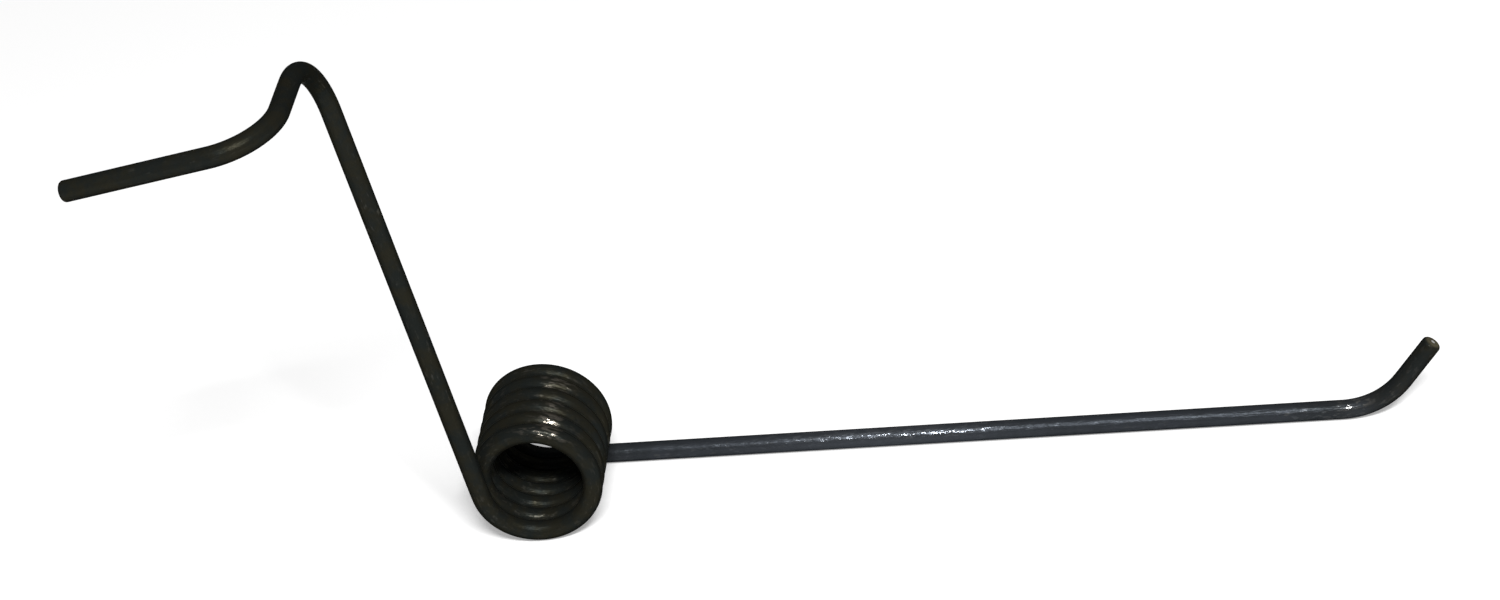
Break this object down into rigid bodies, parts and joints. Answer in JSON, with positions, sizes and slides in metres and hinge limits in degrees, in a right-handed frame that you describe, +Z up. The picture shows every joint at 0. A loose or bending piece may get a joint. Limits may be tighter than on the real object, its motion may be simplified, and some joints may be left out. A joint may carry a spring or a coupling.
{
  "type": "torsion spring",
  "caption": "Close-wound left-hand torsion spring of round wire: a long leg with a bent-up hook and a shorter leg with a cranked end.",
  "frame": {"origin": "middle of the coil, on its axis", "axes": "+Y along the coil axis, from the short leg's turn to the long leg's; +X along the long leg towards its hook; +Z up, as the spring lies on a surface"},
  "size_m": [0.1874, 0.0503, 0.0904],
  "materials": {
    "wire": "black-oxide spring steel, satin, with fine drawing marks"
  },
  "bodies": {
    "root": {"spring": "wire"}
  },
  "joints": []
}
